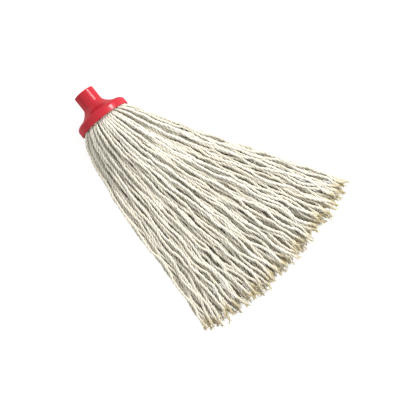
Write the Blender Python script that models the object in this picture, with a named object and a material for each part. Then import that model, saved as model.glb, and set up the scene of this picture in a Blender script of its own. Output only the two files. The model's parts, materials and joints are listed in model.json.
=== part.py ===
"""String mop head: a moulded handle socket and the cotton yarn that it holds.

The mop lies on z = 0 as it is put down. X runs along the socket, from its open end towards the
yarn's tips, Y is across the fan of yarn, and Z is up. The socket tilts about the line through the
middle of its mouth that is parallel to Y. Every size is in metres.
"""

import math

import bmesh
import bpy
import numpy as np
from mathutils import Vector

# Socket: a tube for the handle, a trumpet flare and a round rim, moulded in one piece
SOCKET_LENGTH = 0.0498
BORE_D = 0.0260
TUBE_WALL = 0.0025
RIM_D = 0.0796
RIM_STRAIGHT = 0.0072
SHOULDER_ROUND = 0.0063
FLARE_START = math.radians(30)
FLARE_END = math.radians(76)
WALL = 0.0024
EDGE_ROUND = 0.0006
TROUGH_WIDTH = 0.0034
SOCKET_SIDES = 36

# Clamp plate set back in the mouth, with a stem that stands on the end of the bore
PLATE_D = 0.043
PLATE_THICKNESS = 0.0026
PLATE_SETBACK = 0.0072
STEM_D = 0.010
STEM_LENGTH = 0.0014

# Steel wire that ties the folded yarn, a little way in from the mouth's wall
WIRE_D = 0.0018
WIRE_INSET = 0.0055

# Yarn: folded in half over the wire, so that both ends hang out of the mouth
YARN_LENGTH = 0.336
YARN_COLUMNS = 17
YARN_LAYERS = 2
MOUTH_SPREAD = 0.83
PILE_HEIGHT = 0.016
NECK_DOME_SHARE = 0.92
FAN_MIDDLE = math.radians(15)
FAN_HALF = math.radians(18)
FAN_SETTLES = 0.045
PUFF = math.radians(36)
PUFF_SETTLES = 0.012
CROWN = 0.008
CROWN_AT = 0.018
FALL_RUN = 0.031
LOCK_STATIONS = 10
TIP_STAGGER = 0.005
TIP_TAPER = 0.7
SIDE_CUT = 0.0105

# Clearances between pieces that touch
GAP = 0.0004
SWING_GAP = 0.0017

RIM_R = RIM_D / 2
BORE_R = BORE_D / 2
TUBE_R = BORE_R + TUBE_WALL
MOUTH_R = RIM_R - WALL - GAP
SWING_R = math.hypot(RIM_STRAIGHT, RIM_R - SHOULDER_ROUND) + SHOULDER_ROUND + SWING_GAP
NECK_BACK = -PLATE_SETBACK + GAP
WIRE_PLACE = NECK_BACK - GAP - WIRE_D / 2
PLATE_BACK = -PLATE_SETBACK - PLATE_THICKNESS
BOSS_END = PLATE_BACK - STEM_LENGTH - GAP

RED_PLASTIC = {"color": (0.72, 0.022, 0.030, 1.0), "roughness": 0.32, "metallic": 0.0}
RED_PLATE = {"color": (0.60, 0.020, 0.026, 1.0), "roughness": 0.45, "metallic": 0.0}
GALVANISED = {"color": (0.62, 0.62, 0.60, 1.0), "roughness": 0.35, "metallic": 1.0}
COTTON = {"color": (0.82, 0.77, 0.64, 1.0), "roughness": 0.95, "metallic": 0.0}
COTTON_FOLD = {"color": (0.74, 0.68, 0.55, 1.0), "roughness": 0.95, "metallic": 0.0}


def clear_scene():
    """Takes every object out of the file, so that the script can be run again."""
    for obj in list(bpy.data.objects):
        bpy.data.objects.remove(obj, do_unlink=True)


def make_material(name, finish):
    """A Principled material with a plain colour, roughness and metallic value."""
    material = bpy.data.materials.new(name)
    material.use_nodes = True
    shader = material.node_tree.nodes["Principled BSDF"]
    shader.inputs["Base Color"].default_value = finish["color"]
    shader.inputs["Roughness"].default_value = finish["roughness"]
    shader.inputs["Metallic"].default_value = finish["metallic"]
    material.diffuse_color = finish["color"]
    return material


def make_pivot(name):
    """An empty at the middle of the mouth, which every piece is parented to."""
    empty = bpy.data.objects.new(name, None)
    empty.location = (0.0, 0.0, RIM_R)
    bpy.context.scene.collection.objects.link(empty)
    return empty


def make_object(name, bm, finish, parent):
    """One named object from a finished bmesh, smooth on its round faces."""
    mesh = bpy.data.meshes.new(name)
    bmesh.ops.recalc_face_normals(bm, faces=bm.faces)
    bm.to_mesh(mesh)
    bm.free()
    mesh.shade_smooth()
    mesh.set_sharp_from_angle(angle=math.radians(35))
    mesh.materials.append(make_material(name, finish))
    obj = bpy.data.objects.new(name, mesh)
    obj.parent = parent
    bpy.context.scene.collection.objects.link(obj)
    return obj


def turned(name, profile, sides, finish, parent):
    """A body turned about X from a profile of (x, radius) points that starts and ends on the axis."""
    bm = bmesh.new()
    verts = [bm.verts.new((x, 0.0, radius)) for x, radius in profile]
    edges = [bm.edges.new(pair) for pair in zip(verts, verts[1:])]
    bmesh.ops.spin(bm, geom=verts + edges, cent=(0, 0, 0), axis=(1, 0, 0),
                   angle=math.tau, steps=sides, use_merge=False)
    bmesh.ops.remove_doubles(bm, verts=bm.verts, dist=1e-6)
    return make_object(name, bm, finish, parent)


def turned_ring(name, profile, sides, finish, parent):
    """A ring turned about X from a closed profile of (x, radius) points that stays off the axis."""
    bm = bmesh.new()
    loops = []
    for side in range(sides):
        angle = math.tau * side / sides
        loops.append([bm.verts.new((x, r * math.sin(angle), r * math.cos(angle))) for x, r in profile])
    for here, there in zip(loops, loops[1:] + loops[:1]):
        for i in range(len(profile)):
            j = (i + 1) % len(profile)
            bm.faces.new((here[i], here[j], there[j], there[i]))
    return make_object(name, bm, finish, parent)


def arc(center, radius, start, end, steps):
    """Points on an arc in the (x, radius) plane, with angles measured from +X."""
    points = []
    for step in range(steps + 1):
        angle = start + (end - start) * step / steps
        points.append((center[0] + radius * math.cos(angle), center[1] + radius * math.sin(angle)))
    return points


def skirt_line(inset, steps):
    """The socket's outline from the tube to the rim, moved in by inset: the flare and the shoulder.

    The flare leaves the tube at FLARE_START from the axis and steepens to FLARE_END. The shoulder
    then turns it back to the rim's straight band.
    """
    shoulder_center = (-RIM_STRAIGHT, RIM_R - SHOULDER_ROUND)
    shoulder_top = shoulder_center[1] + SHOULDER_ROUND * math.cos(FLARE_END)
    flare_r = (shoulder_top - TUBE_R) / (math.cos(FLARE_START) - math.cos(FLARE_END))
    flare_end_x = -RIM_STRAIGHT - SHOULDER_ROUND * math.sin(FLARE_END)
    flare_center = (flare_end_x - flare_r * math.sin(FLARE_END),
                    shoulder_top + flare_r * math.cos(FLARE_END))
    flare = arc(flare_center, flare_r + inset, FLARE_START - math.pi / 2, FLARE_END - math.pi / 2, steps)
    shoulder = arc(shoulder_center, SHOULDER_ROUND - inset, FLARE_END + math.pi / 2, math.pi / 2, 3)
    return flare, shoulder


def cut_back(points, floor):
    """The part of a line of rising x that lies past x = floor, starting exactly on it."""
    kept = [p for p in points if p[0] > floor + 1e-5]
    before = [p for p in points if p[0] <= floor + 1e-5]
    if not before:
        return kept
    (x0, r0), (x1, r1) = before[-1], kept[0]
    return [(floor, r0 + (r1 - r0) * (floor - x0) / (x1 - x0))] + kept


def trough_floor():
    """The x where the wall's inner side stands TROUGH_WIDTH out from the boss round the bore."""
    line = skirt_line(WALL, 40)[0]
    return next(x for x, radius in line if radius > TUBE_R + TROUGH_WIDTH)


def build_socket(parent):
    """The one-piece socket: bore, tube, flare and rim outside, and the yarn's trough inside."""
    flare, shoulder = skirt_line(0.0, 8)
    inner_flare, inner_shoulder = skirt_line(WALL, 7)
    floor = trough_floor()
    inside = cut_back(inner_flare, floor) + inner_shoulder
    profile = [(BOSS_END - WALL, 0.0), (BOSS_END - WALL, BORE_R)]
    profile += [(-SOCKET_LENGTH + EDGE_ROUND, BORE_R), (-SOCKET_LENGTH, BORE_R + EDGE_ROUND)]
    profile += arc((-SOCKET_LENGTH + EDGE_ROUND, TUBE_R - EDGE_ROUND), EDGE_ROUND, math.pi, math.pi / 2, 2)
    profile += flare + shoulder[1:]
    profile += arc((-EDGE_ROUND, RIM_R - EDGE_ROUND), EDGE_ROUND, math.pi / 2, 0.0, 2)
    profile += [(0.0, RIM_R - WALL)]
    profile += inside[::-1]
    profile += [(floor, TUBE_R), (BOSS_END, TUBE_R), (BOSS_END, 0.0)]
    return turned("socket_body", profile, SOCKET_SIDES, RED_PLASTIC, parent)


def build_clamp_plate(parent):
    """The plate that presses the folded yarn into the trough, on a stem at the bore's end."""
    foot = BOSS_END + GAP
    face = -PLATE_SETBACK
    radius = PLATE_D / 2
    lip = PLATE_THICKNESS * 0.3
    profile = [(foot, 0.0), (foot, STEM_D / 2), (PLATE_BACK, STEM_D / 2)]
    profile += [(PLATE_BACK, radius - lip), (PLATE_BACK + lip, radius)]
    profile += [(face - lip, radius), (face, radius - lip), (face, 0.0)]
    return turned("yarn_clamp_plate", profile, 24, RED_PLATE, parent)


def build_binding_wire(parent):
    """The ring of wire round the folded yarn, just behind the mouth."""
    profile = arc((WIRE_PLACE, MOUTH_R - WIRE_INSET), WIRE_D / 2, 0.0, math.tau, 6)[:-1]
    return turned_ring("binding_wire", profile, 32, GALVANISED, parent)


def build_yarn_fold(parent):
    """The doubled-over middle of the yarn, packed in the trough round the bore's end."""
    flare, shoulder = skirt_line(WALL + GAP, 5)
    front = WIRE_PLACE - WIRE_D / 2 - GAP
    back = trough_floor() + GAP
    inner = TUBE_R + GAP
    line = [p for p in cut_back(flare + shoulder, back) if p[0] < front - 0.0003]
    stop = PLATE_BACK - GAP
    profile = [(back, inner), (stop - 0.0006, inner), (stop, inner + 0.0006)]
    profile += [(stop, PLATE_D / 2 + GAP), (front, PLATE_D / 2 + GAP + 0.0006)]
    profile += [(front, line[-1][1])] + line[::-1]
    return turned_ring("yarn_fold", profile, 28, COTTON_FOLD, parent)


def build_yarn_neck(parent):
    """The yarn that fills the mouth and domes out of it, inside the rim's swing."""
    dome_r = SWING_R * NECK_DOME_SHARE
    start = math.acos(GAP / dome_r)
    flare, shoulder = skirt_line(WALL + GAP, 8)
    profile = [(NECK_BACK, 0.0)] + cut_back(flare + shoulder + [(0.0, MOUTH_R)], NECK_BACK)
    profile += [(GAP, MOUTH_R + GAP)]
    profile += arc((0.0, 0.0), dome_r, start, 0.0, 8)
    profile[-1] = (dome_r, 0.0)
    return turned("yarn_neck", profile, 28, COTTON, parent)


def ease(t):
    """A smooth step from 0 to 1 as t goes from 0 to 1."""
    t = min(max(t, 0.0), 1.0)
    return t * t * (3.0 - 2.0 * t)


def heading(across, run):
    """The direction in plan, from +X, of the yarn that is across the fan, run along from the mouth.

    Yarn leaves the mouth close to square, swings over to the fan's own direction, and puffs out at
    the mouth's two sides. across is -1 at the -Y edge of the fan and 1 at its +Y edge.
    """
    settled = FAN_MIDDLE + FAN_HALF * across
    swing = FAN_MIDDLE * (across - 1.0) * math.exp(-run / FAN_SETTLES)
    puff = PUFF * across * abs(across) * math.exp(-run / PUFF_SETTLES)
    return settled + swing + puff


def spread_at_mouth(across):
    """Where the yarn sits across the mouth, as a share of its radius, for columns of equal area."""
    return MOUTH_SPREAD * (0.78 * across + 0.22 * across**3)


def plan_curve(across, step=0.0015):
    """The plan curve of the yarn at one place across the fan, as a list of (x, y) every step."""
    x, y = 0.0, spread_at_mouth(across) * MOUTH_R
    points = [(x, y)]
    for i in range(int((YARN_LENGTH + 2 * TIP_STAGGER) / step) + 2):
        angle = heading(across, (i + 0.5) * step)
        x += math.cos(angle) * step
        y += math.sin(angle) * step
        points.append((x, y))
    return points


class Curtain:
    """The upright surface that the yarn at one place across the fan lies in."""

    STEP = 0.0015

    def __init__(self, across):
        self.across = across
        self.plan = plan_curve(across, self.STEP)
        half = MOUTH_R * math.sqrt(1.03 - spread_at_mouth(across) ** 2)
        self.bottom_at_mouth = RIM_R - half
        self.top_at_mouth = RIM_R + half

    def bottom(self, run):
        """The height of the pile's underside, which comes down to the floor."""
        return self.bottom_at_mouth * (1.0 - ease(run / (0.035 + 0.035 * abs(self.across))))

    def top(self, run):
        """The height of the pile's upper side, which crowns at the mouth and thins to the tips."""
        far = PILE_HEIGHT * (1.0 - 0.5 * self.across**4)
        over = SWING_R + FALL_RUN - 0.033 * abs(self.across)
        crown = CROWN * (1.0 - self.across**2) * run / CROWN_AT * math.exp(1.0 - run / CROWN_AT)
        return far + (self.top_at_mouth - far) / (1.0 + (run / over) ** 2.5) + crown

    def point(self, run, up):
        """The point run along the curtain at a share up of the pile's height, from the mouth's middle."""
        place = min(run / self.STEP, len(self.plan) - 1.001)
        i = int(place)
        (x0, y0), (x1, y1) = self.plan[i], self.plan[i + 1]
        share = place - i
        low = self.bottom(run)
        z = low + (self.top(run) - low) * up
        return Vector((x0 + (x1 - x0) * share, y0 + (y1 - y0) * share, z - RIM_R))

    def start(self, up):
        """How far along the curtain leaves the ball that the socket's rim swings in."""
        low, high = 0.0, 0.08
        for _ in range(30):
            middle = (low + high) / 2
            if self.point(middle, up).length < SWING_R:
                low = middle
            else:
                high = middle
        return high

    def line(self, up, tip):
        """Points along the curtain from that ball to a tip, closer together near the mouth."""
        start = self.start(up)
        points = []
        for i in range(LOCK_STATIONS):
            share = (i / LOCK_STATIONS) ** 1.5
            points.append(self.point(start + (YARN_LENGTH - start) * share, up))
        return points + [self.point(YARN_LENGTH + tip, up)]


def layer_heights(layer):
    """Five shares of the yarn's height up one layer, at even turns of the middle curtain's start."""
    curtain = Curtain(0.0)
    shares = [i / 200 for i in range(201)]
    turns = [math.asin(curtain.point(curtain.start(up), up).z / SWING_R) for up in shares]
    low, high = layer / YARN_LAYERS, (layer + 1) / YARN_LAYERS
    from_turn, to_turn = np.interp((low, high), shares, turns)
    inner = np.interp(np.linspace(from_turn, to_turn, 5)[1:-1], turns, shares)
    return [low, *(float(up) for up in inner), high]


def lock_outline(column, heights):
    """The ten (across, up) places round one lock: up its -Y flank, over its top and back round."""
    low, *ups, high = heights
    left, right = -1.0 + 2.0 * column / YARN_COLUMNS, -1.0 + 2.0 * (column + 1) / YARN_COLUMNS
    shoulder = (right - left) * 0.22
    flank_up = [(left, up) for up in ups]
    flank_down = [(right, up) for up in reversed(ups)]
    over = [(left + shoulder, high), (right - shoulder, high)]
    under = [(right - shoulder, low), (left + shoulder, low)]
    return flank_up + over + flank_down + under


def lock_rings(outline, tip):
    """The rings of one lock of yarn, from the mouth to its tip, with the clearance taken off."""
    curtains = {across: Curtain(across) for across in {place[0] for place in outline}}
    lines = [curtains[across].line(up, tip) for across, up in outline]
    rings = [[line[i] for line in lines] for i in range(LOCK_STATIONS + 1)]
    return [cleared(ring, outline) for ring in rings]


def cleared(ring, outline):
    """A ring with half the clearance taken off both flanks, its top and, off the floor, its underside."""
    middle_across = sum(place[0] for place in outline) / len(outline)
    middle_up = sum(place[1] for place in outline) / len(outline)
    flank_to_flank = ring[6] - ring[1]
    sideways = Vector((flank_to_flank.x, flank_to_flank.y, 0.0)).normalized() * GAP / 2
    upright = Vector((0.0, 0.0, GAP / 2))
    moved = []
    for point, (across, up) in zip(ring, outline):
        side = sideways if across < middle_across else -sideways
        on_floor = point.z + RIM_R < GAP / 2 and up < middle_up
        rise = upright * ((up < middle_up) - (up > middle_up))
        moved.append(point + side + (Vector() if on_floor else rise))
    return moved


def ring_faces(bm, here, there, outline):
    """Triangles between two rings, split so that locks that lie side by side match each other."""
    for i in range(len(outline)):
        j = (i + 1) % len(outline)
        forwards = (outline[i][1], outline[i][0]) < (outline[j][1], outline[j][0])
        if forwards:
            bm.faces.new((here[i], here[j], there[j]))
            bm.faces.new((here[i], there[j], there[i]))
        else:
            bm.faces.new((here[i], here[j], there[i]))
            bm.faces.new((here[j], there[j], there[i]))


def build_lock(name, outline, tip, parent):
    """One lock of yarn: a closed body through its rings, with a blunt tip."""
    rings = lock_rings(outline, tip)
    middle = sum(rings[-1], Vector()) / len(outline)
    rings[-1] = [middle + (point - middle) * TIP_TAPER for point in rings[-1]]
    bm = bmesh.new()
    loops = [[bm.verts.new(point) for point in ring] for ring in rings]
    for here, there in zip(loops, loops[1:]):
        ring_faces(bm, here, there, outline)
    for end in (loops[0], loops[-1]):
        for corners in ((8, 9, 0, 7), (0, 1, 6, 7), (1, 2, 5, 6), (2, 3, 4, 5)):
            bm.faces.new([end[corner] for corner in corners])
    return make_object(name, bm, COTTON, parent)


def tip_offset(column, number):
    """How much longer than YARN_LENGTH a lock is: staggered, and cut shorter away from the +Y side."""
    across = -1.0 + (2.0 * column + 1.0) / YARN_COLUMNS
    return TIP_STAGGER * math.sin(2.4 * number) - SIDE_CUT * min(1.0, (1.0 - across) / 0.8)


def build_locks(parent):
    """Every lock of the hanging yarn, in two layers across the fan, with staggered tips."""
    locks = []
    for layer in range(YARN_LAYERS):
        heights = layer_heights(layer)
        for column in range(YARN_COLUMNS):
            number = layer * YARN_COLUMNS + column + 1
            outline = lock_outline(column, heights)
            tip = tip_offset(column, number)
            locks.append(build_lock(f"yarn_lock_{number:02d}", outline, tip, parent))
    return locks


def center_in_plan(objects, pivots):
    """Moves the pivots so that the whole mop's box is centred on the origin in plan."""
    corners = [vertex.co for obj in objects for vertex in obj.data.vertices]
    middle_x = (min(c.x for c in corners) + max(c.x for c in corners)) / 2
    middle_y = (min(c.y for c in corners) + max(c.y for c in corners)) / 2
    for pivot in pivots:
        pivot.location = (-middle_x, -middle_y, RIM_R)


def build_mop():
    """Makes every piece of the mop head."""
    clear_scene()
    socket_pivot = make_pivot("socket_pivot")
    yarn_pivot = make_pivot("yarn_pivot")
    pieces = [
        build_socket(socket_pivot),
        build_clamp_plate(socket_pivot),
        build_binding_wire(socket_pivot),
        build_yarn_fold(socket_pivot),
        build_yarn_neck(socket_pivot),
    ]
    pieces += build_locks(yarn_pivot)
    center_in_plan(pieces, (socket_pivot, yarn_pivot))
    bpy.context.view_layer.update()


build_mop()
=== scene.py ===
"""A string mop head lying on a pale floor: a red moulded socket and a fan of cotton yarn.

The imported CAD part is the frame. The socket is turned from its own section line. The yarn is laid
along the same curves as the CAD locks, and a node tree spins each line into a twisted strand with
a frayed end.
"""

from __future__ import annotations

import enum
import json
import logging
import math
from dataclasses import dataclass, field

import bmesh
import bpy
import numpy as np
from mathutils import Matrix, Vector

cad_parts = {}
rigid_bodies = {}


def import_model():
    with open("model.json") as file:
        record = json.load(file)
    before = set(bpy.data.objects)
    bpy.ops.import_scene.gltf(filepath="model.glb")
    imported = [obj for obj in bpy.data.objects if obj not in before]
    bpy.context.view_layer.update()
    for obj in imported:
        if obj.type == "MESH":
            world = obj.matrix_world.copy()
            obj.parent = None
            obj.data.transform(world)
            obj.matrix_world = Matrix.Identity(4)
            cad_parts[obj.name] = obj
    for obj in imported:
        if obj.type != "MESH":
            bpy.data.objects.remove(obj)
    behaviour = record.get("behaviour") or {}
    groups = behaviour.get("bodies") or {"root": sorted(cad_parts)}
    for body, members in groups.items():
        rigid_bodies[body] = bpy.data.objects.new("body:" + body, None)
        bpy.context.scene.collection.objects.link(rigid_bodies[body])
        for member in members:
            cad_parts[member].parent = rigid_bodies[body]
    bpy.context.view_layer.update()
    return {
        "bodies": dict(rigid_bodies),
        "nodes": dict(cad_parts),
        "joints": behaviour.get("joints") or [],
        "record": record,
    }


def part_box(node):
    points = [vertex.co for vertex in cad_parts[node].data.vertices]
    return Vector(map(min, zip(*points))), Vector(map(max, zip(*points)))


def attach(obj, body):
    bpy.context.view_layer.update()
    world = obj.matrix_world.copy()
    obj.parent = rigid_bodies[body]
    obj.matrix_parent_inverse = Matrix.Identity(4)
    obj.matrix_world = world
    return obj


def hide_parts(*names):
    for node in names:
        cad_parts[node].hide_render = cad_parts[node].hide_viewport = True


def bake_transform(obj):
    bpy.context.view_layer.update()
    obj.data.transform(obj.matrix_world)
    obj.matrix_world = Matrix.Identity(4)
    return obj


LOG = logging.getLogger("mop")

# The middle of the socket's mouth, which the socket tilts about
MOUTH = Vector((-0.138952, -0.070798, 0.039800))


class Layer(enum.Enum):
    """The two layers of yarn, counted from the floor up."""

    UNDER = 0
    OVER = 1


class Part(enum.Enum):
    """The bodies of the model that pieces ride on."""

    SOCKET = "socket"
    YARN = "yarn"


@dataclass(frozen=True)
class LayerStyle:
    """How the strands of one layer lie, and how thick and fine they are spun."""

    sway: float
    fill: float
    thickness: float
    step: float


STYLES = {
    Layer.UNDER: LayerStyle(sway=0.18, fill=0.80, thickness=1.05, step=0.0022),
    Layer.OVER: LayerStyle(sway=0.45, fill=0.74, thickness=0.92, step=0.0017),
}
# Steps each strand's tint on by the golden ratio, so that neighbours differ
TINT_STEP = 0.618


# ------------------------------------------------------------------ node trees


class Wiring:
    """Adds nodes to a tree and joins their sockets."""

    def __init__(self, tree: bpy.types.NodeTree) -> None:
        """Works on one tree.

        Args:
            tree: the shader or geometry tree that nodes are added to.
        """
        self.tree = tree

    def node(self, kind: str, *values: object, named: dict[str, object] | None = None,
             **settings: object) -> bpy.types.Node:
        """Adds one node, sets its options, then fills its inputs.

        Args:
            kind: the node's type name.
            values: what goes into its inputs in order; None leaves one alone.
            named: what goes into inputs by name.
            settings: the node's own options.

        Returns:
            The new node.
        """
        node = self.tree.nodes.new(kind)
        for option, value in settings.items():
            setattr(node, option, value)
        sockets = [s for s in node.inputs if s.enabled]
        pairs = list(zip(sockets, values))
        for name, value in (named or {}).items():
            pairs.append((next(s for s in sockets if s.name == name), value))
        for socket, value in pairs:
            if isinstance(value, bpy.types.NodeSocket):
                self.tree.links.new(value, socket)
            elif value is not None:
                socket.default_value = value
        return node

    def out(self, kind: str, *values: object, pick: str | int = 0,
            named: dict[str, object] | None = None, **settings: object) -> bpy.types.NodeSocket:
        """Adds one node and returns one of its shown outputs.

        Args:
            kind: the node's type name.
            values: what goes into its inputs in order.
            pick: the output's name, or its place among those shown.
            named: what goes into inputs by name.
            settings: the node's own options.

        Returns:
            The picked output socket.
        """
        node = self.node(kind, *values, named=named, **settings)
        shown = [s for s in node.outputs if s.enabled]
        return shown[pick] if isinstance(pick, int) else next(s for s in shown if s.name == pick)

    def math(self, operation: str, *values: object) -> bpy.types.NodeSocket:
        """A sum of numbers: the operation's name, then one to three values or sockets."""
        return self.out("ShaderNodeMath", *values, operation=operation)

    def vector(self, operation: str, *values: object, pick: str | int = 0) -> bpy.types.NodeSocket:
        """A sum of vectors: the operation's name, then its values or sockets."""
        return self.out("ShaderNodeVectorMath", *values, operation=operation, pick=pick)

    def mix(self, share: object, first: object, second: object) -> bpy.types.NodeSocket:
        """A colour that goes from the first to the second as share goes from 0 to 1."""
        return self.out("ShaderNodeMix", named={"Factor": share, "A": first, "B": second},
                        data_type="RGBA", clamp_factor=True)


# ------------------------------------------------------------------ finishes


def blank_material(name: str) -> tuple[bpy.types.Material, Wiring, bpy.types.Node]:
    """A new node material with one Principled shader.

    Args:
        name: the material's name.

    Returns:
        The material, the wiring of its tree, and its shader node.
    """
    material = bpy.data.materials.new(name)
    material.use_nodes = True
    return material, Wiring(material.node_tree), material.node_tree.nodes["Principled BSDF"]


@dataclass(frozen=True)
class CottonFinish:
    """Unbleached cotton yarn, loosely twisted, with fibre fuzz, and painted shade in the furrows
    between plies and on strands that lie deep in the pile.
    """

    name: str = "cotton_yarn"
    pale: tuple[float, float, float, float] = (0.82, 0.795, 0.73, 1.0)
    warm: tuple[float, float, float, float] = (0.76, 0.71, 0.60, 1.0)
    # painted shade: the colour that furrows between plies and strands deep in the pile are darkened
    # towards; the random fibre specks are mixed towards it too
    furrow: tuple[float, float, float, float] = (0.30, 0.27, 0.17, 1.0)
    frayed: tuple[float, float, float, float] = (0.44, 0.37, 0.20, 1.0)
    fuzz: float = 0.25
    roughness: float = 0.93
    speck: float = 0.14
    # how strongly strands deep in the pile are darkened: painted shade
    depth: float = 0.5

    def make(self) -> bpy.types.Material:
        """Builds the material from the strand, crest, deep and along attributes of the yarn; crest
        and deep drive painted shade.

        Returns:
            The material.
        """
        material, w, shader = blank_material(self.name)
        place = w.out("ShaderNodeTexCoord", pick="Object")
        strand = w.out("ShaderNodeAttribute", attribute_name="strand", pick="Fac")
        crest = w.out("ShaderNodeAttribute", attribute_name="crest", pick="Fac")
        deep = w.out("ShaderNodeAttribute", attribute_name="deep", pick="Fac")
        along = w.out("ShaderNodeAttribute", attribute_name="along", pick="Fac")
        mottle = w.out("ShaderNodeTexNoise", place, named={"Scale": 60.0, "Detail": 3.0})
        tint = w.math("ADD", w.math("MULTIPLY", strand, 0.6), w.math("MULTIPLY", mottle, 0.5))
        body = w.mix(w.out("ShaderNodeMapRange", tint, 0.15, 0.95), self.pale, self.warm)
        fibres = w.out("ShaderNodeTexNoise", place, named={"Scale": 900.0, "Detail": 2.0})
        # painted shade in the furrows between plies and deep in the pile, plus random fibre specks,
        # all darkened towards one colour
        furrow_shade = w.out("ShaderNodeMapRange", crest, 0.55, 0.0, 0.0, 0.75)
        speck = w.math("MULTIPLY", w.out("ShaderNodeMapRange", fibres, 0.45, 0.75), self.speck)
        shade_and_speck = w.math("ADD", w.math("ADD", furrow_shade, speck), w.math("MULTIPLY", deep, self.depth))
        body = w.mix(shade_and_speck, body, self.furrow)
        tips = w.math("MULTIPLY", w.out("ShaderNodeMapRange", along, 0.955, 1.0),
                      w.out("ShaderNodeMapRange", mottle, 0.35, 0.6, 0.35, 1.0))
        w.tree.links.new(w.mix(tips, body, self.frayed), shader.inputs["Base Color"])
        shader.inputs["Roughness"].default_value = self.roughness
        shader.inputs["Specular IOR Level"].default_value = 0.2
        shader.inputs["Sheen Weight"].default_value = self.fuzz
        shader.inputs["Sheen Roughness"].default_value = 0.6
        bump = w.out("ShaderNodeBump",
                     named={"Height": fibres, "Strength": 0.4, "Distance": 0.0004})
        w.tree.links.new(bump, shader.inputs["Normal"])
        return material


@dataclass(frozen=True)
class MouldedFinish:
    """Glossy or satin moulded plastic, with faint flow marks and a skin that isn't quite even."""

    name: str
    color: tuple[float, float, float, float]
    worn: tuple[float, float, float, float]
    roughness: float
    coat: float
    coat_ior: float = 2.0

    def make(self) -> bpy.types.Material:
        """Builds the material on object coordinates.

        Returns:
            The material.
        """
        material, w, shader = blank_material(self.name)
        place = w.out("ShaderNodeTexCoord", pick="Object")
        streaked = w.out("ShaderNodeMapping", place, named={"Scale": (12.0, 60.0, 60.0)})
        flow = w.out("ShaderNodeTexNoise", streaked, named={"Scale": 1.0, "Detail": 4.0})
        share = w.out("ShaderNodeMapRange", flow, 0.35, 0.75)
        color = w.mix(share, self.color, self.worn)
        w.tree.links.new(color, shader.inputs["Base Color"])
        scuffs = w.out("ShaderNodeTexNoise", place, named={"Scale": 420.0, "Detail": 3.0})
        rough = w.out("ShaderNodeMapRange", scuffs, 0.3, 0.7,
                      self.roughness * 0.8, self.roughness * 1.25)
        w.tree.links.new(rough, shader.inputs["Roughness"])
        shader.inputs["Specular IOR Level"].default_value = 0.0
        shader.inputs["Coat Weight"].default_value = self.coat
        shader.inputs["Coat IOR"].default_value = self.coat_ior
        w.tree.links.new(rough, shader.inputs["Coat Roughness"])
        grain = w.math("ADD", w.math("MULTIPLY", flow, 0.7), w.math("MULTIPLY", scuffs, 0.15))
        bump = w.out("ShaderNodeBump",
                     named={"Height": grain, "Strength": 0.25, "Distance": 0.0004})
        w.tree.links.new(bump, shader.inputs["Normal"])
        return material


@dataclass(frozen=True)
class GalvanisedFinish:
    """Galvanised wire, dull zinc with a faint spangle."""

    name: str = "binding_wire"

    def make(self) -> bpy.types.Material:
        """Builds the material on object coordinates.

        Returns:
            The material.
        """
        material, w, shader = blank_material(self.name)
        place = w.out("ShaderNodeTexCoord", pick="Object")
        spangle = w.out("ShaderNodeTexVoronoi", place, named={"Scale": 700.0}, pick="Distance")
        tone = w.mix(spangle, (0.66, 0.67, 0.67, 1.0), (0.50, 0.51, 0.52, 1.0))
        w.tree.links.new(tone, shader.inputs["Base Color"])
        rough = w.out("ShaderNodeMapRange", spangle, 0.0, 1.0, 0.3, 0.5)
        w.tree.links.new(rough, shader.inputs["Roughness"])
        shader.inputs["Metallic"].default_value = 1.0
        return material


@dataclass(frozen=True)
class FloorFinish:
    """A pale, even studio floor that glows a little, so that it stays white."""

    name: str = "studio_floor"
    glow: float = 0.72

    def make(self) -> bpy.types.Material:
        """Builds the material.

        Returns:
            The material.
        """
        material, _, shader = blank_material(self.name)
        shader.inputs["Base Color"].default_value = (0.42, 0.42, 0.42, 1.0)
        shader.inputs["Roughness"].default_value = 0.9
        shader.inputs["Specular IOR Level"].default_value = 0.0
        shader.inputs["Emission Color"].default_value = (1.0, 1.0, 1.0, 1.0)
        shader.inputs["Emission Strength"].default_value = self.glow
        return material


COTTON = CottonFinish()
RED = MouldedFinish(
    name="socket_plastic", color=(0.39, 0.012, 0.022, 1.0), worn=(0.46, 0.022, 0.034, 1.0),
    roughness=0.26, coat=0.20)
DULL_RED = MouldedFinish(
    name="plate_plastic", color=(0.55, 0.016, 0.022, 1.0), worn=(0.62, 0.03, 0.04, 1.0),
    roughness=0.5, coat=0.05)


# ------------------------------------------------------------------ meshes


def link(name: str, mesh: bpy.types.Mesh) -> bpy.types.Object:
    """Puts a mesh in the scene as an object at the origin.

    Args:
        name: the object's and the mesh's name.
        mesh: the mesh, placed in world metres.

    Returns:
        The new object.
    """
    mesh.name = name
    obj = bpy.data.objects.new(name, mesh)
    bpy.context.scene.collection.objects.link(obj)
    return obj


def arc(center: tuple[float, float], radius: float, start: float, end: float,
        steps: int) -> list[tuple[float, float]]:
    """Points on an arc in the (x, radius) plane, with angles from +X.

    Args:
        center: the arc's middle.
        radius: its radius.
        start: the first angle, in radians.
        end: the last angle.
        steps: how many steps it has.

    Returns:
        The points, one more than the steps.
    """
    angles = [start + (end - start) * i / steps for i in range(steps + 1)]
    return [(center[0] + radius * math.cos(a), center[1] + radius * math.sin(a)) for a in angles]


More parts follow.
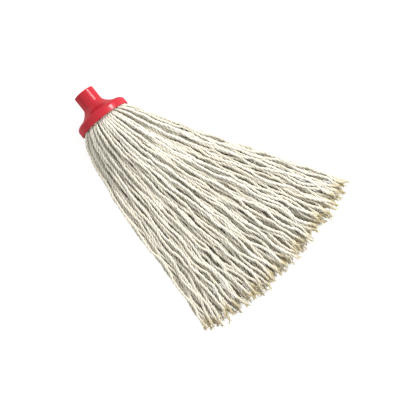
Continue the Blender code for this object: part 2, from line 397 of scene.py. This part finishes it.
@dataclass
class Socket:
    """The red moulded socket with its handle bore, flare and rim, and what is fixed inside it."""

    length: float = 0.0498
    bore_r: float = 0.0130
    bore_depth: float = 0.0358
    tube_wall: float = 0.0025
    rim_r: float = 0.0398
    rim_straight: float = 0.0072
    shoulder: float = 0.0063
    wall: float = 0.0024
    edge: float = 0.0006
    foot: float = 0.009
    rear_loop: float = 0.0014
    foot_loop: float = 0.0010
    rim_loop: float = 0.0016
    trough_gap: float = 0.0034
    draft: float = 0.0002
    flare_start: float = math.radians(30.0)
    flare_end: float = math.radians(76.0)
    sides: int = 160
    made: list[bpy.types.Object] = field(default_factory=list)

    @property
    def tube_r(self) -> float:
        """The tube's outer radius."""
        return self.bore_r + self.tube_wall

    def skirt(self, inset: float, steps: int) -> list[tuple[float, float]]:
        """The flare and the shoulder, moved in by inset.

        Args:
            inset: how far in from the outside.
            steps: steps of the flare; the shoulder gets half as many.

        Returns:
            Points from the tube to the rim.
        """
        middle = (-self.rim_straight, self.rim_r - self.shoulder)
        top = middle[1] + self.shoulder * math.cos(self.flare_end)
        radius = (top - self.tube_r) / (math.cos(self.flare_start) - math.cos(self.flare_end))
        end_x = -self.rim_straight - self.shoulder * math.sin(self.flare_end)
        center = (end_x - radius * math.sin(self.flare_end),
                  top + radius * math.cos(self.flare_end))
        quarter = math.pi / 2
        foot, low = [], self.flare_start - quarter
        if inset == 0.0:
            across = center[1] - self.tube_r - self.foot
            reach = math.sqrt((radius - self.foot) ** 2 - across ** 2)
            low = math.atan2(self.tube_r + self.foot - center[1], reach)
            middle_of_foot = (center[0] + reach, self.tube_r + self.foot)
            foot = arc(middle_of_foot, self.foot, -quarter, low, 10)[:-1]
        flare = arc(center, radius + inset, low, self.flare_end - quarter, steps)
        bend = arc(middle, self.shoulder - inset, self.flare_end + quarter, quarter, steps // 2)
        return foot + flare + bend[1:]

    def section(self) -> list[tuple[float, float]]:
        """The section line of the socket, from the blind end of the bore to the middle of the boss.

        Returns:
            Points as (x from the mouth, radius).
        """
        rear, blind, edge = -self.length, self.bore_depth - self.length, self.edge
        line = [(blind, 0.0), (blind, self.bore_r - edge)]
        line += arc((blind - edge, self.bore_r - edge), edge, 0.0, math.pi / 2, 3)[1:]
        line += arc((rear + edge, self.bore_r + edge), edge, 1.5 * math.pi, math.pi, 4)
        line += arc((rear + edge, self.tube_r - edge), edge, math.pi, math.pi / 2, 4)
        skirt = self.skirt(0.0, 28)
        line += [(rear + self.rear_loop, self.tube_r), (skirt[0][0] - self.foot_loop, self.tube_r)]
        line += skirt + [(-self.rim_loop, self.rim_r)]
        line += arc((-edge, self.rim_r - edge), edge, math.pi / 2, 0.0, 4)
        line += arc((-edge, self.rim_r - self.wall + edge), edge, 0.0, -math.pi / 2, 4)
        trough = self.tube_r + self.trough_gap
        line += [p for p in self.skirt(self.wall, 20)[::-1] if p[1] > trough]
        line += [(line[-1][0] - self.draft, self.tube_r), (blind + self.wall, self.tube_r)]
        return line + [(blind + self.wall, 0.0)]

    def build(self, frame: dict) -> list[bpy.types.Object]:
        """Turns the socket, puts it on the socket's body, and dresses the parts inside it.

        Returns:
            The pieces that were made.
        """
        bm = bmesh.new()
        rings = []
        for x, radius in self.section():
            if radius < 1e-9:
                rings.append([bm.verts.new(MOUTH + Vector((x, 0.0, 0.0)))])
                continue
            turns = [math.tau * i / self.sides for i in range(self.sides)]
            around = [Vector((x, radius * math.sin(a), radius * math.cos(a))) for a in turns]
            rings.append([bm.verts.new(MOUTH + place) for place in around])
        for here, there in zip(rings, rings[1:]):
            for i in range(self.sides):
                corners = [here[i % len(here)], here[(i + 1) % len(here)],
                           there[(i + 1) % len(there)], there[i % len(there)]]
                bm.faces.new(list(dict.fromkeys(corners)))
        bmesh.ops.recalc_face_normals(bm, faces=bm.faces)
        mesh = bpy.data.meshes.new("socket_shell")
        bm.to_mesh(mesh)
        bm.free()
        mesh.shade_smooth()
        mesh.set_sharp_from_angle(angle=math.radians(50))
        mesh.materials.append(RED.make())
        shell = link("socket_shell", mesh)
        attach(shell, Part.SOCKET.value)
        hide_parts("socket_body")
        self.made.append(shell)
        LOG.info("socket shell: %d faces", len(mesh.polygons))
        self.dress(frame["nodes"]["yarn_clamp_plate"], DULL_RED.make())
        self.dress(frame["nodes"]["binding_wire"], GalvanisedFinish().make())
        return self.made

    @staticmethod
    def dress(node: bpy.types.Object, material: bpy.types.Material) -> None:
        """Gives a carried-over CAD node a finish of its own.

        Args:
            node: the CAD node.
            material: its new material.
        """
        node.data.materials.clear()
        node.data.materials.append(material)
        LOG.info("%s: dressed as %s", node.name, material.name)


# ------------------------------------------------------------------ yarn


@dataclass
class FanField:
    """The curves that the yarn lies along, from the mouth to the tips, on a grid of places."""

    rim_r: float = 0.0398
    mouth_r: float = 0.0370
    mouth_spread: float = 0.83
    swing_r: float = 0.0423
    length: float = 0.336
    pile: float = 0.016
    fan_middle: float = math.radians(15.0)
    fan_half: float = math.radians(18.0)
    settles: float = 0.045
    puff: float = math.radians(36.0)
    puff_settles: float = 0.012
    crown: float = 0.008
    crown_at: float = 0.018
    fall: float = 0.031
    step: float = 0.0015
    spare: float = 0.03
    packing: float = 1.03
    underside_run: float = 0.035
    side_fall: float = 0.033
    drape: float = 2.5

    def __post_init__(self) -> None:
        """Lays out the plan curves once, for every place across the fan."""
        self.across = np.linspace(-1.1, 1.1, 111)
        self.runs = np.arange(0.0, self.length + self.spare, self.step)
        heading = self.heading(self.across[:, None], self.runs[None, :] + self.step / 2)
        x = np.cumsum(np.cos(heading), axis=1) * self.step
        y = np.cumsum(np.sin(heading), axis=1) * self.step
        zero = np.zeros((len(self.across), 1))
        self.x = np.hstack([zero, x[:, :-1]])
        self.y = np.hstack([zero, y[:, :-1]]) + self.spread(self.across)[:, None] * self.mouth_r

    def heading(self, across: np.ndarray, run: np.ndarray) -> np.ndarray:
        """The direction in plan, from +X, of the yarn.

        Args:
            across: places across the fan, from -1 to 1.
            run: how far along the yarn from the mouth.

        Returns:
            Angles in radians.
        """
        settled = self.fan_middle + self.fan_half * across
        swing = self.fan_middle * (across - 1.0) * np.exp(-run / self.settles)
        puff = self.puff * across * np.abs(across) * np.exp(-run / self.puff_settles)
        return settled + swing + puff

    def spread(self, across: np.ndarray) -> np.ndarray:
        """Where the yarn sits across the mouth, as a share of its radius."""
        return self.mouth_spread * (0.78 * across + 0.22 * across**3)

    def lows_and_highs(self, across: np.ndarray, run: np.ndarray) -> tuple[np.ndarray, np.ndarray]:
        """The heights of the pile's underside and upper side above the floor.

        Args:
            across: places across the fan, from -1 to 1.
            run: how far along the yarn from the mouth.

        Returns:
            The lower and upper heights.
        """
        inner = np.clip(np.abs(across), 0.0, 1.0)
        half = self.mouth_r * np.sqrt(self.packing - self.spread(inner) ** 2)
        share = np.clip(run / (self.underside_run + self.underside_run * inner), 0.0, 1.0)
        low = (self.rim_r - half) * (1.0 - share * share * (3.0 - 2.0 * share))
        far = self.pile * (1.0 - 0.5 * inner**4)
        over = self.swing_r + self.fall - self.side_fall * inner
        rise = self.crown * (1.0 - inner**2) * run / self.crown_at
        rise = rise * np.exp(1.0 - run / self.crown_at)
        high = far + (self.rim_r + half - far) / (1.0 + (run / over) ** self.drape) + rise
        return low, high

    def points(self, across: np.ndarray, run: np.ndarray, up: np.ndarray,
               least: float) -> np.ndarray:
        """Places in the world, one for each set of across, run and up.

        Args:
            across: places across the fan.
            run: how far along the yarn; below 0 is straight back into the socket.
            up: shares of the pile's height.
            least: the lowest height above the floor.

        Returns:
            An array of points.
        """
        ahead = np.maximum(run, 0.0)
        column = (across - self.across[0]) / (self.across[1] - self.across[0])
        column = np.clip(column, 0, len(self.across) - 1.001)
        place = np.clip(ahead / self.step, 0, len(self.runs) - 1.001)
        c, p = column.astype(int), place.astype(int)
        fc, fp = column - c, place - p
        plan = []
        for grid in (self.x, self.y):
            near = grid[c, p] * (1 - fp) + grid[c, p + 1] * fp
            far = grid[c + 1, p] * (1 - fp) + grid[c + 1, p + 1] * fp
            plan.append(near * (1 - fc) + far * fc)
        low, high = self.lows_and_highs(across, ahead)
        z = np.maximum(low + (high - low) * up, least)
        back = np.minimum(run, 0.0)
        return np.stack([plan[0] + back + MOUTH.x, plan[1] + MOUTH.y, z], axis=1)


class StrandTree:
    """The node tree that spins guide lines into wavy, twisted strands with frayed ends."""

    SIZES = {
        "Strand radius": 0.0024, "Step": 0.0017, "Twist length": 0.021, "Furrow depth": 0.24,
        "Wave": 0.0014, "Wave length": 0.017, "Fray length": 0.008, "Fray spread": 0.42,
    }
    COUNTS = {"Plies": 3, "Points per ply": 4, "Fray fibres": 7, "Seed": 5}

    def __init__(self, finish: bpy.types.Material) -> None:
        """Builds the tree.

        Args:
            finish: the material that its mesh ends with.
        """
        self.tree = bpy.data.node_groups.new("Spun strands", "GeometryNodeTree")
        face = self.tree.interface
        face.new_socket("Geometry", in_out="INPUT", socket_type="NodeSocketGeometry")
        face.new_socket("Geometry", in_out="OUTPUT", socket_type="NodeSocketGeometry")
        for kind, table in (("NodeSocketFloat", self.SIZES), ("NodeSocketInt", self.COUNTS)):
            for name, value in table.items():
                socket = face.new_socket(name, in_out="INPUT", socket_type=kind)
                socket.default_value = value
        self.w = Wiring(self.tree)
        self.given = self.w.node("NodeGroupInput").outputs
        lines = self.wavy(self.given["Geometry"])
        yarn = self.swept(lines, self.profile())
        both = self.w.node("GeometryNodeJoinGeometry")
        loose = self.w.out("GeometryNodeRealizeInstances", self.frays(lines))
        self.tree.links.new(loose, both.inputs[0])
        self.tree.links.new(yarn, both.inputs[0])
        smooth = self.w.out("GeometryNodeSetShadeSmooth", both.outputs[0])
        real = self.w.out("GeometryNodeRealizeInstances", self.on_floor(smooth))
        dressed = self.w.out("GeometryNodeSetMaterial", real, named={"Material": finish})
        self.w.node("NodeGroupOutput", dressed)

    def swept(self, lines: bpy.types.NodeSocket,
              section: bpy.types.NodeSocket) -> bpy.types.NodeSocket:
        """A section carried along curves, as thick at each point as the curve's radius there."""
        return self.w.out("GeometryNodeCurveToMesh", lines, named={
            "Profile Curve": section, "Fill Caps": True,
            "Scale": self.w.out("GeometryNodeInputRadius")})

    def on_floor(self, mesh: bpy.types.NodeSocket) -> bpy.types.NodeSocket:
        """The mesh with whatever dips under the floor brought back up to it.

        Args:
            mesh: the strands and their frays.

        Returns:
            The same mesh, none of it lower than a hair above the floor.
        """
        w = self.w
        place = w.node("ShaderNodeSeparateXYZ", w.out("GeometryNodeInputPosition")).outputs
        height = w.math("MAXIMUM", place["Z"], 0.0003)
        raised = w.out("ShaderNodeCombineXYZ", place["X"], place["Y"], height)
        return w.out("GeometryNodeSetPosition", mesh, named={"Position": raised})

    def read(self, name: str) -> bpy.types.NodeSocket:
        """The value of a named attribute of the guide lines."""
        return self.w.out("GeometryNodeInputNamedAttribute", name, data_type="FLOAT",
                          pick="Attribute")

    def wavy(self, guides: bpy.types.NodeSocket) -> bpy.types.NodeSocket:
        """Even points along the guides, moved about like slack yarn, with twist and thickness.

        Args:
            guides: the guide lines' mesh.

        Returns:
            The strands' curves.
        """
        w, given = self.w, self.given
        curves = w.out("GeometryNodeMeshToCurve", guides)
        even = w.out("GeometryNodeResampleCurve", curves, named={"Length": given["Step"]},
                     mode="LENGTH")
        length = w.out("GeometryNodeSplineParameter", pick="Length")
        strand, along = self.read("strand"), self.read("along")
        apart = w.math("MULTIPLY_ADD", strand, 97.0, given["Seed"])
        beat = w.math("DIVIDE", length, given["Wave length"])
        where = w.out("ShaderNodeCombineXYZ", beat, apart, 0.0)
        noise = w.out("ShaderNodeTexNoise", where, named={"Scale": 1.0, "Detail": 2.0},
                      pick="Color")
        centred = w.vector("SUBTRACT", noise, (0.5, 0.5, 0.5))
        slack = w.out("ShaderNodeMapRange", length, 0.004, 0.05)
        size = w.math("MULTIPLY", w.math("MULTIPLY", given["Wave"], 4.0), slack)
        shift = w.vector("MULTIPLY", w.vector("SCALE", centred, size), (1.0, 1.0, 0.6))
        moved = w.out("GeometryNodeSetPosition", even, named={"Offset": shift})
        turns = w.math("DIVIDE", length, given["Twist length"])
        tilt = w.math("MULTIPLY", w.math("MULTIPLY_ADD", strand, 9.0, turns), math.tau)
        twisted = w.out("GeometryNodeSetCurveTilt", moved, named={"Tilt": tilt})
        lumps = w.out("ShaderNodeTexNoise", w.vector("SCALE", where, 0.55),
                      named={"Scale": 1.0, "Detail": 1.0})
        thick = w.out("ShaderNodeMapRange", lumps, 0.3, 0.7, 0.86, 1.12)
        flare = w.out("ShaderNodeMapRange", along, 0.965, 1.0, 1.0, 1.22)
        radius = w.math("MULTIPLY", w.math("MULTIPLY", thick, flare), given["Strand radius"])
        return w.out("GeometryNodeSetCurveRadius", twisted, named={"Radius": radius})

    def profile(self) -> bpy.types.NodeSocket:
        """The lobed section of a strand, one lobe for each ply, with its crests marked.

        Returns:
            The section's curve.
        """
        w, given = self.w, self.given
        around = w.math("MULTIPLY", given["Plies"], given["Points per ply"])
        circle = self.circle(around)
        index = w.out("GeometryNodeInputIndex")
        phase = w.math("DIVIDE", w.math("MULTIPLY", index, math.tau), given["Points per ply"])
        crest = w.math("MULTIPLY_ADD", w.math("COSINE", phase), 0.5, 0.5)
        sunk = w.math("MULTIPLY", w.math("SUBTRACT", 1.0, crest), given["Furrow depth"])
        lifted = w.math("SUBTRACT", 1.0, sunk)
        place = w.out("GeometryNodeInputPosition")
        lobed = w.out("GeometryNodeSetPosition", circle,
                      named={"Position": w.vector("SCALE", place, lifted)})
        return self.crested(lobed, crest)

    def circle(self, corners: object) -> bpy.types.NodeSocket:
        """A circle of radius 1 with a number of corners."""
        return self.w.out("GeometryNodeCurvePrimitiveCircle",
                          named={"Resolution": corners, "Radius": 1.0}, mode="RADIUS")

    def crested(self, shape: bpy.types.NodeSocket, crest: object) -> bpy.types.NodeSocket:
        """The shape with its crest attribute stored: 1 on a ply's back, 0 in a furrow."""
        return self.w.out("GeometryNodeStoreNamedAttribute", shape,
                          named={"Name": "crest", "Value": crest},
                          data_type="FLOAT", domain="POINT")

    def frays(self, lines: bpy.types.NodeSocket) -> bpy.types.NodeSocket:
        """Loose fibres that splay out of each strand's cut end.

        Args:
            lines: the strands' curves.

        Returns:
            The fibres, as instances.
        """
        w, given = self.w, self.given
        length = given["Fray length"]
        half = w.out("ShaderNodeCombineXYZ", w.math("MULTIPLY", length, 0.12), 0.0,
                     w.math("MULTIPLY", length, 0.5))
        tip = w.out("ShaderNodeCombineXYZ", w.math("MULTIPLY", length, 0.38), 0.0, length)
        fibre = w.out("GeometryNodeCurveQuadraticBezier", 5, (0.0, 0.0, -0.001), half, tip)
        thin = w.out("ShaderNodeMapRange", w.out("GeometryNodeSplineParameter"),
                     0.0, 1.0, 0.0010, 0.0003)
        fibre = w.out("GeometryNodeSetCurveRadius", fibre, named={"Radius": thin})
        fibre = self.crested(self.swept(fibre, self.circle(5)), 0.7)
        ends = w.out("GeometryNodeCurveEndpointSelection", 0, 1)
        aim = w.out("FunctionNodeAlignRotationToVector",
                    named={"Vector": w.out("GeometryNodeInputTangent")}, axis="Z")
        tufts = w.out("GeometryNodeInstanceOnPoints", lines,
                      named={"Selection": ends, "Instance": fibre, "Rotation": aim})
        many = w.out("GeometryNodeDuplicateElements", tufts,
                     named={"Amount": given["Fray fibres"]}, domain="INSTANCE")
        wide = given["Fray spread"]
        back = w.math("MULTIPLY", wide, -1.0)
        lowest = w.out("ShaderNodeCombineXYZ", back, back, -3.1)
        highest = w.out("ShaderNodeCombineXYZ", wide, wide, 3.1)
        turn = w.out("FunctionNodeRandomValue", lowest, highest, named={"Seed": given["Seed"]},
                     data_type="FLOAT_VECTOR")
        splayed = w.out("GeometryNodeRotateInstances", many,
                        named={"Rotation": turn, "Local Space": True})
        length_share = w.out("FunctionNodeRandomValue", named={"Min": 0.5, "Max": 1.0, "Seed": 8},
                             data_type="FLOAT")
        return w.out("GeometryNodeScaleInstances", splayed,
                     named={"Scale": length_share, "Local Space": True})

    def spin(self, name: str, guides: bpy.types.Object,
             sizes: dict[str, float]) -> bpy.types.Object:
        """Runs the tree on guide lines and keeps the result as a plain mesh.

        Args:
            name: the new piece's name.
            guides: the guide lines' object, which is removed.
            sizes: inputs that differ from the tree's own values, by name.

        Returns:
            The new piece, at the origin.
        """
        modifier = guides.modifiers.new("Spin", "NODES")
        modifier.node_group = self.tree
        for item in self.tree.interface.items_tree:
            if item.in_out == "INPUT" and item.name in sizes:
                modifier[item.identifier] = sizes[item.name]
        ready = guides.evaluated_get(bpy.context.evaluated_depsgraph_get())
        mesh = bpy.data.meshes.new_from_object(ready)
        guides.modifiers.clear()
        bpy.data.objects.remove(guides)
        return link(name, mesh)


@dataclass
class YarnFan:
    """The mop's yarn: locks of five strands, in two layers across the fan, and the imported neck."""

    curves: FanField = field(default_factory=FanField)
    columns: int = 17
    strands: int = 5
    gather: float = 0.975
    strand_r: float = 0.0024
    tip_stagger: float = 0.005
    side_cut: float = 0.0105
    inside: float = 0.006
    lock_width: float = 0.026
    blend_run: float = 0.045
    long_wave: float = 0.21
    short_wave: float = 0.07
    lift_wave: float = 0.16
    rank_height: float = 0.165
    neck_count: int = 85
    neck_reach: float = 0.0340
    neck_dome: float = 0.0380
    neck_back: float = 0.0068
    fold_count: int = 34
    fold_strand_r: float = 0.0018
    fold_inner: float = 0.0238
    fold_least: float = 0.0184
    fold_clear: float = 0.0029
    seed: int = 11

    def lock_number(self, column: int, layer: Layer) -> int:
        """The CAD lock's number at a column and layer."""
        return layer.value * self.columns + column + 1

    def middle(self, column: int) -> float:
        """A column's place across the fan, from -1 to 1."""
        return -1.0 + (2.0 * column + 1.0) / self.columns

    @staticmethod
    def level(layer: Layer) -> float:
        """The height of a layer's middle, as a share of the pile."""
        return 0.25 + 0.5 * layer.value

    def tip(self, column: int, number: int) -> float:
        """How much longer than the curves' own length a lock is."""
        cut = self.side_cut * min(1.0, (1.0 - self.middle(column)) / 0.8)
        return self.tip_stagger * math.sin(2.4 * number) - cut

    def strand_line(self, rng: np.random.RandomState, column: int, layer: Layer, slot: float,
                    rank: float) -> np.ndarray:
        """The line of one strand in a lock.

        Args:
            rng: the lock's own random numbers.
            column: the lock's place across the fan.
            layer: the lock's layer.
            slot: the strand's place across the lock, from -1 to 1.
            rank: its place up the lock, from -1 to 1.

        Returns:
            Its points, from inside the socket to its tip.
        """
        style = STYLES[layer]
        number = self.lock_number(column, layer)
        tip = self.tip(column, number) + rng.uniform(-0.012, -0.001)
        shown = np.linspace(0.0, self.curves.length + tip, 90)
        run = np.concatenate([[-self.inside, -self.inside / 2], shown])
        ahead = np.clip(run, 0.0, None)
        loose = np.clip(ahead / 0.09, 0.0, 1.0) + 0.35 * np.clip(ahead / 0.15 - 1.0, 0.0, 1.0)
        phases = rng.uniform(0.0, math.tau, 4)
        waves = (self.long_wave, self.short_wave, self.lift_wave, self.short_wave)
        swells = [np.sin(math.tau * ahead / wave + phase) for wave, phase in zip(waves, phases)]
        sway = 0.5 * swells[0] + 0.5 * swells[1]
        lift = swells[2] + 0.6 * swells[3]
        aside = np.clip(slot * style.fill + sway * style.sway * loose, -0.92, 0.92)
        across = self.gather * self.middle(column) + aside / self.columns
        up = self.level(layer) + rank * self.rank_height + 0.05 * lift * loose
        return self.curves.points(across, run, up, self.strand_r * 0.95)

    @staticmethod
    def guides(name: str, lines: list[np.ndarray], tints: list[float],
               depths: list[float]) -> bpy.types.Object:
        """An object of plain lines that carry their own tint, depth and place along.

        Args:
            name: the object's name.
            lines: the points of each line.
            tints: a number from 0 to 1 for each line.
            depths: how deep in the pile each line lies, from 0 to 1.

        Returns:
            The object.
        """
        mesh = bpy.data.meshes.new(name)
        edges, offset = [], 0
        for line in lines:
            edges += [(offset + i, offset + i + 1) for i in range(len(line) - 1)]
            offset += len(line)
        mesh.from_pydata(np.concatenate(lines).tolist(), edges, [])
        counts = [len(line) for line in lines]
        values = {
            "strand": np.repeat(tints, counts),
            "deep": np.repeat(depths, counts),
            "along": np.concatenate([np.linspace(0.0, 1.0, count) for count in counts]),
        }
        for key, numbers in values.items():
            attribute = mesh.attributes.new(key, "FLOAT", "POINT")
            attribute.data.foreach_set("value", numbers.astype(np.float32))
        return link(name, mesh)

    def lock(self, tree: StrandTree, column: int, layer: Layer) -> bpy.types.Object:
        """Args:
            tree: the tree that spins strands.
            column: the lock's place across the fan.
            layer: its layer.

        Returns:
            The lock.
        """
        number = self.lock_number(column, layer)
        rng = np.random.RandomState(self.seed * 100 + number)
        slots = np.linspace(-1.0, 1.0, self.strands)
        ranks = rng.permutation(slots)
        lines = [self.strand_line(rng, column, layer, s, r) for s, r in zip(slots, ranks)]
        tints = list(rng.uniform(0.0, 1.0, self.strands))
        # how deep each strand lies: the under layer and the lower ranks get more painted shade in
        # the yarn's shader
        depths = [0.5 * (1 - layer.value) + 0.25 * (1.0 - r) for r in ranks]
        guides = self.guides(f"guides_{number:02d}", lines, tints, depths)
        style = STYLES[layer]
        piece = tree.spin(f"yarn_strands_{number:02d}", guides, {
            "Strand radius": self.strand_r * style.thickness, "Step": style.step, "Seed": number})
        self.declare(piece, column, layer)
        return piece

    def declare(self, piece: bpy.types.Object, column: int, layer: Layer) -> None:
        """Measures a finished lock's path and logs its length, bakes its placement, and hides the
        CAD lock that it stands for.

        Args:
            piece: the finished lock.
            column: its place across the fan.
            layer: its layer.
        """
        number = self.lock_number(column, layer)
        run = np.linspace(0.0, self.curves.length + self.tip(column, number) - 0.004, 40)
        across = np.full_like(run, self.gather * self.middle(column))
        path = self.curves.points(across, run, np.full_like(run, self.level(layer)), self.strand_r)
        length = float(np.linalg.norm(np.diff(path, axis=0), axis=1).sum())
        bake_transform(piece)
        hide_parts(f"yarn_lock_{number:02d}")
        LOG.info("%s: %.0f mm long, %d faces", piece.name, length * 1000, len(piece.data.polygons))

    def packed(self, tree: StrandTree, node: str, lines: list[np.ndarray], depth: float,
               sizes: dict[str, float]) -> bpy.types.Object:
        """Spins yarn that is packed in the socket and moves with it.

        Args:
            tree: the tree that spins strands.
            node: the CAD node that it stands for.
            lines: the points of each strand.
            depth: how deep in the pile it lies, from 0 to 1.
            sizes: the tree's inputs that are its own.

        Returns:
            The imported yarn.
        """
        tints = [(i * TINT_STEP) % 1.0 for i in range(len(lines))]
        # the depth gives this packed yarn painted shade in the yarn's shader, as for strands deep in
        # the pile
        guides = self.guides(f"guides_{node}", lines, tints, [depth] * len(lines))
        piece = tree.spin(f"{node}_strands", guides, sizes | {"Wave": 0.0, "Fray fibres": 0})
        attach(piece, Part.SOCKET.value)
        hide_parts(node)
        LOG.info("%s: %d faces", piece.name, len(piece.data.polygons))
        return piece

    def neck(self, tree: StrandTree) -> bpy.types.Object:
        """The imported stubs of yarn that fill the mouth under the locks.

        Args:
            tree: the tree that spins strands.

        Returns:
            The neck.
        """
        lines = []
        golden = math.pi * (3.0 - math.sqrt(5.0))
        for i in range(self.neck_count):
            turn, reach = i * golden, self.neck_reach * math.sqrt((i + 0.5) / self.neck_count)
            y, z = reach * math.cos(turn), reach * math.sin(turn)
            end = math.sqrt(max(self.neck_dome**2 - reach**2, 0.0))
            x = np.linspace(-self.neck_back, max(end - 0.004, 0.003), 12)
            sides = np.full_like(x, y + MOUTH.y), np.full_like(x, z + MOUTH.z)
            lines.append(np.stack([x + MOUTH.x, *sides], axis=1))
        return self.packed(tree, "yarn_neck", lines, 0.8, {"Strand radius": self.strand_r})

    def fold(self, tree: StrandTree) -> bpy.types.Object:
        """The doubled-over yarn in the trough round the bore's end, held inside the socket's wall.

        Args:
            tree: the tree that spins strands.

        Returns:
            The fold.
        """
        lines, socket = [], Socket()
        wall_x, wall_r = zip(*socket.skirt(socket.wall, 20))
        box_low, box_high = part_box("yarn_fold")
        back, front = box_low.x + 0.0022, box_high.x - 0.002
        outer = (box_high.z - box_low.z) / 2 - 0.0045
        bend = np.linspace(0.0, math.pi, 14)
        x = front + (back - front) * np.sin(bend) ** 0.7
        room = np.interp(x - MOUTH.x, wall_x, wall_r) - self.fold_clear
        r = np.linspace(outer, self.fold_inner, 14) - 0.006 * np.sin(bend)
        r = np.minimum(np.maximum(r, self.fold_least), room)
        for i in range(self.fold_count):
            turn = math.tau * i / self.fold_count
            y, z = r * math.sin(turn) + MOUTH.y, r * math.cos(turn) + MOUTH.z
            lines.append(np.stack([x, y, z], axis=1))
        sizes = {"Strand radius": self.fold_strand_r, "Step": 0.0012}
        return self.packed(tree, "yarn_fold", lines, 0.9, sizes)

    def build(self) -> list[bpy.types.Object]:
        """Spins every lock, the neck and the fold.

        Returns:
            The pieces that were made.
        """
        tree = StrandTree(COTTON.make())
        made = [self.lock(tree, column, layer) for layer in Layer for column in range(self.columns)]
        return made + [self.neck(tree), self.fold(tree)]


# ------------------------------------------------------------------ studio


@dataclass
class Studio:
    """The floor, the soft lights and the camera."""

    elevation: float = math.radians(87.0)
    turn: float = math.radians(51.2)
    lens: float = 92.9
    camera_at: tuple[float, float, float] = (0.2447, -0.014, 1.527)
    surround: float = 0.84

    def build(self) -> None:
        """Sets up all of the studio."""
        self.camera()
        self.floor()
        self.lights()
        LOG.info("studio is ready")

    def camera(self) -> None:
        """A camera almost straight above, turned so that the socket is at the upper left."""
        right = Vector((math.cos(self.turn), math.sin(self.turn), 0.0))
        toward = Vector((math.sin(self.turn), -math.cos(self.turn), 0.0))
        up = Vector((0, 0, math.cos(self.elevation))) - toward * math.sin(self.elevation)
        back = Vector((0, 0, math.sin(self.elevation))) + toward * math.cos(self.elevation)
        turned = Matrix((right, up, back)).transposed().to_4x4()
        data = bpy.data.cameras.new("camera")
        data.lens, data.sensor_width = self.lens, 36.0
        data.clip_start, data.clip_end = 0.05, 20.0
        camera = bpy.data.objects.new("camera", data)
        place = Vector((MOUTH.x, MOUTH.y, 0.0)) + Vector(self.camera_at)
        camera.matrix_world = Matrix.Translation(place) @ turned
        bpy.context.scene.collection.objects.link(camera)
        bpy.context.scene.camera = camera

    @staticmethod
    def floor() -> None:
        """A wide pale floor, just under the yarn."""
        bm = bmesh.new()
        bmesh.ops.create_grid(bm, x_segments=1, y_segments=1, size=6.0)
        mesh = bpy.data.meshes.new("floor")
        bm.to_mesh(mesh)
        bm.free()
        mesh.materials.append(FloorFinish().make())
        link("floor", mesh)

    def lights(self) -> None:
        """A pale surround, a soft key light from the +Y side, and a small light for the gloss."""
        world = bpy.data.worlds.new("surround")
        world.use_nodes = True
        background = world.node_tree.nodes["Background"]
        background.inputs["Color"].default_value = (1.0, 1.0, 1.0, 1.0)
        background.inputs["Strength"].default_value = self.surround
        bpy.context.scene.world = world
        self.area("key", Vector((0.15, 1.10, 1.05)), 0.6, 18.0, (1.0, 0.98, 0.94))
        self.area("streak", Vector((-0.40, 1.05, 0.85)), 0.14, 9.0, (1.0, 1.0, 1.0))
        bpy.context.scene.view_settings.view_transform = "Standard"

    @staticmethod
    def area(name: str, place: Vector, size: float, power: float,
             color: tuple[float, float, float]) -> None:
        """One square soft light that looks at the mop.

        Args:
            name: its name.
            place: where it stands.
            size: the length of its side.
            power: its power in watts.
            color: its colour.
        """
        data = bpy.data.lights.new(name, "AREA")
        data.size, data.energy, data.color = size, power, color
        light = bpy.data.objects.new(name, data)
        light.location = place
        aim = Vector((0.0, 0.0, 0.02)) - place
        light.rotation_euler = aim.to_track_quat("-Z", "Y").to_euler()
        bpy.context.scene.collection.objects.link(light)


def main() -> None:
    """Loads the frame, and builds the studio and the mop."""
    logging.basicConfig(level=logging.INFO, format="%(name)s: %(message)s")
    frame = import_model()
    Studio().build()
    YarnFan().build()
    Socket().build(frame)


if __name__ == "__main__":
    main()
